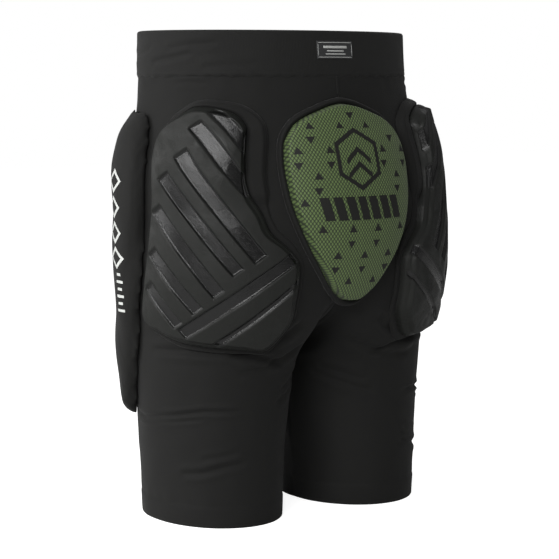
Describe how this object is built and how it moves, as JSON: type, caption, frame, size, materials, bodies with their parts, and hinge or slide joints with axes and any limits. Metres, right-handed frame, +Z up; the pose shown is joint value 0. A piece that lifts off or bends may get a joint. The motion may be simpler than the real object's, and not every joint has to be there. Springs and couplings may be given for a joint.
{
  "type": "padded impact shorts",
  "caption": "Stretch protective shorts with moulded seat pads, a perforated tailbone pad and pocketed hip pads.",
  "frame": {"origin": "on the floor plane of the hems, under the middle of the bounding box", "axes": "+Z up to the waist, -Y to the front of the wearer, +X to the wearer's left"},
  "size_m": [0.3648, 0.2496, 0.4711],
  "materials": {
    "stretch_fabric": "matte black knitted stretch fabric",
    "elastic": "woven elastic tape",
    "woven_label": "woven damask label with a light border",
    "dark_foam": "closed-cell impact foam",
    "moulded_pad": "semi-gloss film-faced moulded foam with raised bars",
    "green_foam": "green perforated foam",
    "knit_mesh": "fine black knit mesh over the green foam",
    "light_print": "light grey rubber print",
    "dark_print": "black rubber print"
  },
  "bodies": {
    "root": {"waistband_casing": "stretch_fabric", "waistband_elastic": "elastic", "waistband_label": "woven_label", "front_panel_left": "stretch_fabric", "front_panel_right": "stretch_fabric", "back_panel_left": "stretch_fabric", "back_panel_right": "stretch_fabric", "centre_back_seam": "stretch_fabric", "leg_panel_left": "stretch_fabric", "leg_panel_right": "stretch_fabric", "leg_hem_left": "stretch_fabric", "leg_hem_right": "stretch_fabric", "hem_elastic_left": "elastic", "hem_elastic_right": "elastic", "seat_pad_foam_left": "dark_foam", "seat_pad_foam_right": "dark_foam", "seat_pad_shell_left": "moulded_pad", "seat_pad_shell_right": "moulded_pad", "seat_pad_flange_left": "moulded_pad", "seat_pad_flange_right": "moulded_pad", "hip_pad_foam_left": "dark_foam", "hip_pad_foam_right": "dark_foam", "hip_pad_cover_left": "stretch_fabric", "hip_pad_cover_right": "stretch_fabric", "hip_pad_print_left": "light_print", "hip_pad_print_right": "light_print", "tailbone_pad_foam": "green_foam", "tailbone_pad_mesh": "knit_mesh", "tailbone_pad_border": "stretch_fabric", "tailbone_emblem": "dark_print"}
  },
  "joints": []
}
